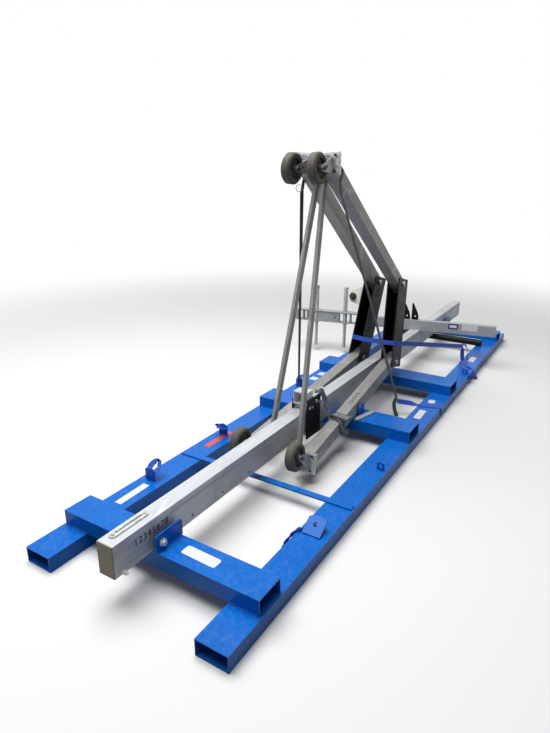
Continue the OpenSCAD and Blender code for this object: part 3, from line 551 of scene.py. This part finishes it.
def leg_lashing():
    """Black strap from the left rail over both raised legs and down to the blue webbing on the right."""
    leg_way = (raised_spot(1, 1.0, 0, 0) - raised_spot(1, 0.0, 0, 0)).normalized()
    right_way = (raised_spot(-1, 1.0, 0, 0) - raised_spot(-1, 0.0, 0, 0)).normalized()
    hook = spot(2.319, EYE_ROW, 0.118)
    knot = spot(2.403, 0.288, 0.122)
    left_down = (hook - raised_spot(1, STRAP_ALONG, STRAP_OUT, -STRAP_OUT)).normalized()
    right_down = (knot - raised_spot(-1, STRAP_ALONG, STRAP_OUT, -STRAP_OUT)).normalized()
    flat_left = left_down.cross(Vector((0, 1, 0))).normalized()
    flat_right = right_down.cross(Vector((0, 1, 0))).normalized()
    route = [
        (hook, flat_left),
        (raised_spot(1, STRAP_ALONG + 0.03, STRAP_OUT + 0.004, -HALF_LEG - 0.05), -leg_way),
        (raised_spot(1, STRAP_ALONG, STRAP_OUT, -HALF_LEG), -leg_way),
        (raised_spot(1, STRAP_ALONG, STRAP_OUT, STRAP_OUT), -leg_way),
        (raised_spot(1, STRAP_ALONG, -HALF_LEG, STRAP_OUT), -leg_way),
        (raised_spot(-1, STRAP_ALONG, -HALF_LEG, STRAP_OUT), -right_way),
        (raised_spot(-1, STRAP_ALONG, STRAP_OUT, STRAP_OUT), -right_way),
        (raised_spot(-1, STRAP_ALONG, STRAP_OUT, -HALF_LEG), -right_way),
        (raised_spot(-1, STRAP_ALONG + 0.03, STRAP_OUT + 0.004, -HALF_LEG - 0.05), -right_way),
        (knot, -flat_right),
    ]
    if route[0][1].dot(route[1][1]) < 0:
        route[0] = (hook, -flat_left)
    if route[-1][1].dot(route[-2][1]) < 0:
        route[-1] = (knot, flat_right)
    return webbing("leg_lashing", route, 0.027, WEB, DARK_WEBBING)


def head_lashing():
    """Blue strap round both head channels, then back to the right rail and over it."""
    head_x = HEAD_EDGE - STRAP_SEAT
    out = HALF_LEG + HEAD_WALL + STRAP_SEAT
    across = turned((0, 0, 1))
    right_across = Vector((across.x, -across.y, across.z))
    rail_top = RAIL_TOP + STRAP_SEAT
    route = [
        (frame_spot(1, (head_x + 0.16, out, -0.150)), across),
        (frame_spot(1, (head_x, out, -0.150)), across),
        (frame_spot(1, (head_x, -out, -0.150)), across),
        (frame_spot(-1, (head_x, -out, -0.150)), right_across),
        (frame_spot(-1, (head_x - 0.0005, out + 0.002, -0.150)), right_across),
        (spot(3.640, 0.150, 0.217), Vector((0.35, 0.1, 1))),
        (spot(3.640, 0.146, 0.150), Vector((0.5, -0.8, 0.2))),
        (spot(3.640, 0.138, rail_top + 0.003), Vector((0.8, -0.5, 0))),
        (spot(3.440, -STRAP_SEAT, rail_top), Vector((0.62, 0.78, 0))),
        (spot(3.430, -STRAP_SEAT, 0.024), Vector((1, 0, 0.1))),
    ]
    return webbing("head_lashing", route, 0.034, WEB, BLUE_WEBBING, reach=0.012)


def rail_webbing():
    """Blue webbing that takes the black strap's pull over the right rail."""
    rail_top = RAIL_TOP + STRAP_SEAT
    route = [
        (spot(2.408, 0.284, 0.104), Vector((0.3, 0.1, 0.9))),
        (spot(2.445, 0.205, 0.094), Vector((0.5, 0.2, 0.8))),
        (spot(2.470, 0.156, rail_top + 0.003), Vector((1, 0.45, 0.1))),
        (spot(2.520, -STRAP_SEAT, rail_top), Vector((1, 0.3, 0))),
        (spot(2.524, -STRAP_SEAT, 0.024), Vector((1, 0, 0))),
    ]
    return webbing("rail_webbing", route, 0.034, WEB, BLUE_WEBBING, reach=0.01)


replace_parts(leg_lashing(), "dark_straps")
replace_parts(head_lashing(), "blue_straps")
rail_webbing()


def leg_tie_down():
    """Grey webbing pulled from the trolley to the right lower leg and wound twice round it."""
    side = HALF_LEG + STRAP_SEAT
    leg_way = (lower_spot(-1, 1.0, 0, 0) - lower_spot(-1, 0.0, 0, 0)).normalized()

    def turn_of(start, stop, lift):
        corners = [(-side, side), (side, side), (side, -side), (-side, -side), (-side, side)]
        points = []
        for i, (out, up) in enumerate(corners):
            along = start + (stop - start) * i / 4
            lifted = [math.copysign(abs(v) + lift, v) for v in (out, up)]
            points.append((lower_spot(-1, along, *lifted), leg_way))
        return points

    hanging = [
        (spot(1.655, 0.560, 0.3815), Vector((-0.8, 0.55, 0))),
        (spot(1.683, 0.528, 0.3805), Vector((-0.7, 0.7, 0.0))),
        (spot(1.698, 0.505, 0.310), Vector((-0.55, 0.8, 0.1))),
    ]
    webbing("leg_tie_down", hanging + turn_of(0.385, 0.425, 0.0) + turn_of(0.43, 0.40, 0.004)[1:3],
            0.030, THIN_WEB, GREY_WEBBING, reach=0.008)
    slack = [
        (lower_spot(-1, 0.40, 0.010, side + 0.012), leg_way),
        (lower_spot(-1, 0.36, side + 0.010, side + 0.012), leg_way),
        (lower_spot(-1, 0.35, side + 0.022, 0.010), leg_way + Vector((0, 0, 0.3))),
        (lower_spot(-1, 0.37, side + 0.012, -0.030), leg_way),
        (lower_spot(-1, 0.42, side + 0.020, -0.060), leg_way + Vector((0, 0.2, 0.2))),
        (lower_spot(-1, 0.43, side + 0.008, -0.085), leg_way),
    ]
    webbing("tie_down_tail", slack, 0.028, THIN_WEB, GREY_WEBBING, reach=0.03)


def eye_sling(name, eye, reach, drop):
    """A sling of blue webbing threaded through a lashing eye and lying over the rail."""
    rows = []
    for i in range(17):
        a = 2 * math.pi * i / 16
        bulge = Vector((reach * (1 - math.cos(a)) / 2, 0.028 * math.sin(a), drop * math.sin(a / 2) ** 2))
        rows.append((eye + bulge, Vector((0.15, 0.9, 0.4 * math.sin(a)))))
    webbing(name, rows, 0.032, WEB, BLUE_WEBBING, reach=0.012)


def small_slings():
    """The slings and tails that lie about the skid."""
    eyes = ((0.711, 0.060, 0.050), (1.361, -0.055, 0.044), (2.338, 0.050, 0.036))
    for i, (x, reach, drop) in enumerate(eyes):
        eye_sling("eye_sling_%d" % (i + 1), spot(x, EYE_ROW, 0.112), reach, drop)
    edge = Vector((0.75, -0.6, 0.0))
    webbing("rail_edge_sling", [
        (spot(0.812, 0.092, 0.0835), edge),
        (spot(0.760, 0.128, 0.0825), edge),
        (spot(0.725, 0.1575, 0.079), edge),
        (spot(0.690, 0.178, 0.050), Vector((0.9, -0.3, 0.1))),
        (spot(0.655, 0.186, 0.022), Vector((1, 0, 0.2))),
        (spot(0.664, 0.166, 0.010), Vector((1, 0, 0.2))),
        (spot(0.700, 0.1575, 0.034), Vector((1, 0, 0.1))),
        (spot(0.752, 0.1575, 0.0785), edge),
        (spot(0.800, 0.112, 0.0795), edge),
    ], 0.020, 0.0022, BLUE_WEBBING, reach=0.02)
    webbing("rail_cross_sling", [
        (spot(3.590, 0.146, 0.086), Vector((1, 0.2, 0))),
        (spot(3.500, 0.100, 0.0825), Vector((0.5, 0.86, 0))),
        (spot(3.330, -0.006, 0.0825), Vector((0.5, 0.86, 0))),
        (spot(3.322, -0.0065, 0.030), Vector((1, 0, 0))),
    ], 0.026, THIN_WEB, BLUE_WEBBING, reach=0.012)
    webbing("rail_tail_sling", [
        (spot(3.452, -0.0055, 0.070), Vector((1, 0, 0))),
        (spot(3.446, -0.040, 0.034), Vector((1, 0.2, 0))),
        (spot(3.462, -0.030, 0.010), Vector((1, 0, 0))),
        (spot(3.500, -0.012, 0.024), Vector((0.9, 0, -0.3))),
        (spot(3.480, -0.0075, 0.060), Vector((1, 0, 0))),
    ], 0.026, THIN_WEB, BLUE_WEBBING, reach=0.02)
    webbing("hook_fold_sling", [
        (spot(3.660, 0.128, 0.084), Vector((0.8, 0.6, 0))),
        (spot(3.668, 0.150, 0.150), Vector((0.9, 0.3, 0.1))),
        (spot(3.650, 0.158, 0.232), Vector((0.9, 0.2, 0.2))),
        (spot(3.676, 0.130, 0.222), Vector((0.9, 0.1, 0.3))),
        (spot(3.700, 0.118, 0.160), Vector((0.9, 0.3, 0.1))),
        (spot(3.696, 0.110, 0.082), Vector((0.8, 0.6, 0))),
    ], 0.030, THIN_WEB, BLUE_WEBBING, reach=0.02)
    webbing("leg_lashing_tail", [
        (spot(2.404, 0.292, 0.122), Vector((0.5, -0.8, 0.0))),
        (spot(2.382, 0.300, 0.100), Vector((0.5, -0.8, 0.0))),
        (spot(2.366, 0.286, 0.050), Vector((0.5, -0.8, 0.1))),
        (spot(2.360, 0.262, 0.010), Vector((0.5, -0.8, 0.0))),
    ], 0.026, THIN_WEB, DARK_WEBBING, reach=0.02)


leg_tie_down()
small_slings()


# Bolts, weld beads and other small steel

WASHER_THICK = 0.002


def hex_bolt(place, axis, across, high, washer=True):
    """A hexagon head with its corners turned down, on a washer with a rounded rim."""
    start_clean()
    bpy.ops.mesh.primitive_cylinder_add(vertices=6, radius=across / math.sqrt(3), depth=high)
    head = softened(bpy.context.object, across * 0.07)
    head.location = (0, 0, high / 2 + WASHER_THICK)
    pieces = [fixed(head)]
    if washer:
        start_clean()
        bpy.ops.mesh.primitive_cylinder_add(vertices=28, radius=across * 0.82, depth=WASHER_THICK)
        disc = softened(bpy.context.object, 0.0006)
        disc.location = (0, 0, WASHER_THICK / 2)
        pieces.append(fixed(disc))
    start_clean()
    for piece in pieces:
        piece.select_set(True)
    bpy.context.view_layer.objects.active = head
    bpy.ops.object.join()
    head.matrix_world = Matrix.Translation(place) @ axis.to_track_quat("Z", "Y").to_matrix().to_4x4()
    return fixed(head)


def joined(pieces, name, material, body="skid_pack"):
    """Several like pieces made one."""
    start_clean()
    for piece in pieces:
        piece.select_set(True)
    bpy.context.view_layer.objects.active = pieces[0]
    if len(pieces) > 1:
        bpy.ops.object.join()
    return settle(pieces[0], name, material, body)


# A castor's own sizes, as in the part's source
FOOT_SPLAY = math.radians(8)
FOOT_SHIFT = 0.020
FOOT_PLATE_Z = 0.017
PLATE_HEIGHT = 0.116
RACE_Z = 0.033
WHEEL_Z = 0.167
TRAIL = 0.038
FORK_OUT = 0.042


def foot_spot(side, end, v):
    """A point of a castor's own axes: X along its trail, Z away from the leg; end is 1 for a raised leg."""
    x = v[0] - FOOT_SHIFT
    a = FOOT_SPLAY - math.pi / 2
    along = x * math.cos(a) + v[2] * math.sin(a)
    across = -x * math.sin(a) + v[2] * math.cos(a) - BASE_HALF
    return frame_spot(side, (along, v[1], -across if end > 0 else across))


def foot_way(side, end, v):
    """The same for a direction."""
    return (foot_spot(side, end, v) - foot_spot(side, end, (0, 0, 0))).normalized()


def castor_bolts(side, end):
    """Hex heads on the foot plate's four bolts, and a nut at each end of the axle."""
    key = ("top" if end > 0 else "low") + ("_right" if side < 0 else "_left")
    heads = [
        hex_bolt(foot_spot(side, end, (x * (PLATE_HEIGHT / 2 - 0.018), y * 0.042, RACE_Z + 0.0075)),
                 foot_way(side, end, (0, 0, 1)), 0.015, 0.005, washer=False)
        for x in (-1, 1) for y in (-1, 1)]
    heads += [
        hex_bolt(foot_spot(side, end, (x * (PLATE_HEIGHT / 2 - 0.014), y * 0.052, FOOT_PLATE_Z - 0.0001)),
                 foot_way(side, end, (0, 0, -1)), 0.017, 0.007)
        for x in (-1, 1) for y in (-1, 1)]
    joined(heads, "foot_bolts_" + key, DARK_BOLT)
    nuts = [
        hex_bolt(foot_spot(side, end, (TRAIL, y * FORK_OUT, WHEEL_Z)),
                 foot_way(side, end, (0, y, 0)), 0.018, 0.007)
        for y in (-1, 1)]
    nuts += [
        hex_bolt(foot_spot(side, end, (TRAIL - 0.012, y * (FORK_OUT - 0.008), WHEEL_Z - 0.046)),
                 foot_way(side, end, (0, y, 0)), 0.011, 0.003, washer=False)
        for y in (-1, 1)]
    joined(nuts, "axle_nuts_" + key, DARK_BOLT, "castor_" + key)


for frame_side in (-1, 1):
    for leg_end in (-1, 1):
        castor_bolts(frame_side, leg_end)


def lug_bolts():
    """Zinc bolts that hold the beam between its lugs, with their shanks across the gap."""
    pieces = []
    for x in (0.243, 4.473):
        for y, gap_y, way in ((0.5155, 0.5295, -1), (0.6545, 0.6405, 1)):
            pieces.append(hex_bolt(spot(x, y, 0.186), Vector((0, way, 0)), 0.024, 0.012))
            start_clean()
            bpy.ops.mesh.primitive_cylinder_add(
                vertices=24, radius=0.0085, depth=0.0274, location=spot(x, gap_y, 0.186),
                rotation=(math.pi / 2, 0, 0))
            pieces.append(softened(fixed(bpy.context.object), 0.001))
    joined(pieces, "lug_bolts", FITTING)


def weld_bead(a, b, radius=0.0045):
    """A row of overlapping ripples from one point to another."""
    start_clean()
    bpy.ops.mesh.primitive_uv_sphere_add(segments=10, ring_count=6, radius=radius)
    bead = bpy.context.object
    bead.scale = (0.8, 1.0, 1.0)
    fixed(bead)
    pitch = radius * 0.9
    repeated(bead, max(2, int((b - a).length / pitch)), pitch)
    bpy.ops.object.shade_smooth()
    bead.matrix_world = Matrix.Translation(a) @ (b - a).to_track_quat("X", "Z").to_matrix().to_4x4()
    return fixed(bead)


def skid_welds():
    """Beads where the cross members meet the rails and where the lugs stand."""
    beads = []
    for x0, x1 in ((0.206, 0.358), (1.857, 2.047), (2.765, 2.955), (4.436, 4.588)):
        for y0, y1 in ((0.012, 0.150), (0.961, 1.099)):
            for x in (x0, x1):
                beads.append(weld_bead(spot(x, y0, RAIL_BEAD_Z), spot(x, y1, RAIL_BEAD_Z)))
    for x0 in (0.206, 4.436):
        for y in (0.5155, 0.5235, 0.6465, 0.6545):
            beads.append(weld_bead(spot(x0, y, CROSS_BEAD_Z), spot(x0 + 0.150, y, CROSS_BEAD_Z), 0.0035))
    for y in (0.152, 0.959):
        beads.append(weld_bead(spot(1.022, y - 0.008, RAIL_BEAD_Z), spot(1.022, y + 0.008, RAIL_BEAD_Z)))
    joined(beads, "skid_welds", ENAMEL)


def wire_ring():
    """A small wire ring below the raised left wheel, which touches nothing."""
    start_clean()
    bpy.ops.mesh.primitive_torus_add(
        major_radius=0.019, minor_radius=0.0016, major_segments=36, minor_segments=8,
        location=spot(1.640, 0.684, 1.562), rotation=(math.radians(75), 0, math.radians(-58)))
    ring = fixed(bpy.context.object)
    bpy.ops.object.shade_smooth()
    settle(ring, "hanging_wire_ring", DARK_BOLT)


def grooved_strip():
    """A black strip with raised bars, at the foot of the trolley's right plate."""
    bars = repeated(softened(block((0.006, 0.014, 0.030)), 0.0015), 13, 0.0115)
    back = softened(block((0.150, 0.005, 0.022), (0.069, 0.004, 0)), 0.0015)
    strip = joined([bars, back], "grooved_strip", BLACK)
    turn = Matrix.Rotation(math.radians(2), 4, "Y")
    strip.matrix_world = Matrix.Translation(spot(1.522, 0.5235, 0.140)) @ turn
    fixed(strip)


def lashing_hooks():
    """Closed wire loops of two hooks: where the black strap ends at its eye, and at the near sling."""
    for name, place, turn in (
            ("lashing_hook_left", spot(2.331, EYE_ROW, 0.112), (90, 0, 0)),
            ("lashing_hook_near", spot(0.812, 0.088, 0.102), (90, 0, 40))):
        start_clean()
        bpy.ops.mesh.primitive_torus_add(
            major_radius=0.016, minor_radius=0.0028, major_segments=32, minor_segments=10, location=place,
            rotation=tuple(math.radians(t) for t in turn))
        hook = fixed(bpy.context.object)
        bpy.ops.object.shade_smooth()
        settle(hook, name, FITTING)


def latch_bar():
    """A flat bar with a round end and a hole, lying on the near fork pocket by its lug."""
    bar = block((0.180, 0.032, 0.010))
    rounded_at(bar, 0.0155, 6, lambda a, b: upright(a, b) and a.x < 0)
    softened(bar, 0.0012)
    turn = Matrix.Rotation(math.radians(-15), 4, "Z")
    bar.matrix_world = Matrix.Translation(spot(1.935, 0.338, 0.1575)) @ turn
    settle(fixed(bar), "latch_bar", BAR_METAL)


lug_bolts()
skid_welds()
wire_ring()
latch_bar()
grooved_strip()
lashing_hooks()


# Plates, strips and stencilled numbers, all bare or generic

STICK = 0.0006
LABEL_LIFT = STICK / 2 + 0.0003
BAR_SKEW = math.radians(12)
HALF_BAR = 0.030


def flat_turn(degrees):
    """A label lying face up, turned this far from the skid's length."""
    return Matrix.Rotation(math.radians(degrees), 3, "Z")


def labels():
    """Bare white, navy and red labels where the real one has printed ones."""
    flat_rows = (
        ("cross_label", 0.288, 0.351, CROSS_TOP, 0.180, 0.055, -91.7, LABEL, 0.012),
        ("left_rail_label", 0.559, 1.029, RAIL_TOP, 0.206, 0.042, 1.1, LABEL, 0.003),
        ("left_rail_strip", 1.290, 1.032, RAIL_TOP, 0.240, 0.040, -1, RED_TAPE, 0.002),
        ("left_rail_note_1", 2.560, 1.040, RAIL_TOP, 0.070, 0.060, 0, LABEL, 0.008),
        ("left_rail_note_2", 2.690, 1.035, RAIL_TOP, 0.070, 0.060, 0, LABEL, 0.008),
        ("right_rail_label", 2.330, 0.091, RAIL_TOP, 0.160, 0.048, 1.8, LABEL, 0.003),
        ("right_rail_oval", 2.595, 0.090, RAIL_TOP, 0.070, 0.050, 4, LABEL, 0.024),
        ("right_rail_far", 3.746, 0.076, RAIL_TOP, 0.150, 0.050, 0.4, LABEL, 0.008),
    )
    for name, x, y, top, length, width, degrees, material, corner in flat_rows:
        place = spot(x, y, top + LABEL_LIFT)
        plate(name, place, (length, width, STICK), flat_turn(degrees), material, corner)
    along = Vector((-math.sin(BAR_SKEW), math.cos(BAR_SKEW), 0))
    face = Vector((-math.cos(BAR_SKEW), -math.sin(BAR_SKEW), 0))
    start = spot(3.8, -0.08, 0.3) + face * (HALF_BAR + LABEL_LIFT)
    turn = axes_turn(-along, Vector((0, 0, 1)))
    bar_rows = (
        ("bar_label_navy", 0.3575, 0.0640, 0, 0.082, 0.050, NAVY, 0.006),
        ("bar_label_white", 0.219, 0.0625, 0, 0.134, 0.056, LABEL, 0.004),
        ("bar_label_inset", 0.3575, 0.0640, STICK, 0.060, 0.026, LABEL, 0.005),
    )
    for name, reach, high, proud, length, width, material, corner in bar_rows:
        place = start + along * reach + Vector((0, 0, high)) + face * proud
        plate(name, place, (length, width, STICK), turn, material, corner)


def stencil(name, words, place, size, turn):
    """Stencilled digits, a hair thick, on the face they are painted on."""
    start_clean()
    bpy.ops.object.text_add()
    text = bpy.context.object
    text.data.body = words
    text.data.size = size
    text.data.extrude = 0.00015
    text.data.align_x = "CENTER"
    text.data.align_y = "CENTER"
    text.data.space_character = 1.1
    bpy.ops.object.convert(target="MESH")
    marks = bpy.context.object
    marks.matrix_world = Matrix.Translation(place) @ turn.to_4x4()
    settle(fixed(marks), name, INK)


def numbers():
    """Plain counting numbers in the stencil's place on the beam and the leg."""
    stencil("beam_numbers", "12345678", spot(0.212, 0.5431, 0.246), 0.046,
            axes_turn(Vector((1, 0, 0)), Vector((0, 0, 1))))
    leg_way = lower_spot(-1, 1, 0, 0) - lower_spot(-1, 0, 0, 0)
    across = lower_spot(-1, 0, -1, 0) - lower_spot(-1, 0, 0, 0)
    stencil("leg_numbers", "12345678", lower_spot(-1, 0.68, 0, HALF_LEG + 0.0005), 0.038,
            axes_turn(leg_way, across))


labels()
numbers()


# Camera, light and floor

SENSOR = 36
LENS_PIXELS = 551.31
PICTURE_HEIGHT = 733
LAMP_POWER = 575
LAMP_SIZE = 5.0
ROOM_LIGHT = 0.14
FADE_START = 2.2
FADE_END = 6.5


def stand_camera():
    """The camera where the photograph was taken from."""
    lens = bpy.data.cameras.new("photo_view")
    lens.sensor_width = SENSOR
    lens.lens = LENS_PIXELS * SENSOR / PICTURE_HEIGHT
    lens.clip_end = 100
    camera = bpy.data.objects.new("photo_view", lens)
    bpy.context.scene.collection.objects.link(camera)
    right = Vector((0.52998, -0.84800, 0.00364))
    up = Vector((0.27893, 0.17837, 0.94360))
    back = Vector((-0.80082, -0.49908, 0.33106))
    camera.matrix_world = Matrix.Translation(spot(-1.1483, -0.8990, 1.6411)) @ Matrix(
        (right, up, back)).transposed().to_4x4()
    bpy.context.scene.camera = camera


def soft_lamp(name, place, target, size, power):
    """A square lamp at a place, turned to a target."""
    lamp = bpy.data.lights.new(name, "AREA")
    lamp.shape = "SQUARE"
    lamp.size = size
    lamp.energy = power
    holder = bpy.data.objects.new(name, lamp)
    bpy.context.scene.collection.objects.link(holder)
    holder.location = place
    holder.rotation_euler = (target - place).to_track_quat("-Z", "Y").to_euler()


def seen_rays(tree):
    """One on rays from the camera and on mirrored or bent ones, and nothing on the rest."""
    path = add(tree, "LightPath")
    shiny = add(tree, "Math", {
        0: path.outputs["Is Glossy Ray"], 1: path.outputs["Is Transmission Ray"]}, operation="MAXIMUM")
    return add(tree, "Math", {0: path.outputs["Is Camera Ray"], 1: shiny.outputs[0]}, operation="MAXIMUM")


def light_the_room():
    """Soft light from above, and a world that is white to the camera and to gloss."""
    soft_lamp("overhead", Vector((-1.6, 1.0, 6.0)), Vector((0, 0, 0)), LAMP_SIZE, LAMP_POWER)
    world = bpy.data.worlds.new("studio")
    bpy.context.scene.world = world
    world.use_nodes = True
    tree = world.node_tree
    tree.nodes.clear()
    seen = seen_rays(tree)
    level = add(tree, "MapRange", {"Value": seen.outputs[0], "To Min": ROOM_LIGHT, "To Max": 1.0})
    glow = add(tree, "Background", {"Color": colour("ffffff"), "Strength": level.outputs[0]})
    out = add(tree, "OutputWorld")
    tree.links.new(glow.outputs[0], out.inputs["Surface"])


def pale_floor():
    """A pale matt floor that goes over into the white backdrop, and throws little light back up."""
    material, tree, shader, place = finish("pale_floor", Roughness=0.9)
    seen = seen_rays(tree)
    tone = add(tree, "MixRGB", {
        "Fac": seen.outputs[0], "Color1": colour("7c7b79"), "Color2": colour("e2e2e1")})
    distance = add(tree, "VectorMath", {0: place}, operation="LENGTH")
    far = add(tree, "MapRange", {
        "Value": distance.outputs["Value"], "From Min": FADE_START, "From Max": FADE_END},
        interpolation_type="SMOOTHSTEP")
    away = add(tree, "Math", {0: far.outputs[0], 1: seen.outputs[0]}, operation="MULTIPLY")
    white = add(tree, "Emission", {"Color": colour("ffffff"), "Strength": 1.0})
    both = add(tree, "MixShader", {0: away.outputs[0], 1: shader.outputs[0], 2: white.outputs[0]})
    out = next(n for n in tree.nodes if n.type == "OUTPUT_MATERIAL")
    tree.links.new(tone.outputs[0], shader.inputs["Base Color"])
    tree.links.new(both.outputs[0], out.inputs["Surface"])
    return material


def lay_floor():
    """A plain pale floor."""
    start_clean()
    bpy.ops.mesh.primitive_plane_add(size=60)
    floor = bpy.context.object
    floor.name = "floor"
    floor.data.materials.append(pale_floor())


stand_camera()
light_the_room()
lay_floor()
bpy.context.scene.view_settings.view_transform = "Standard"
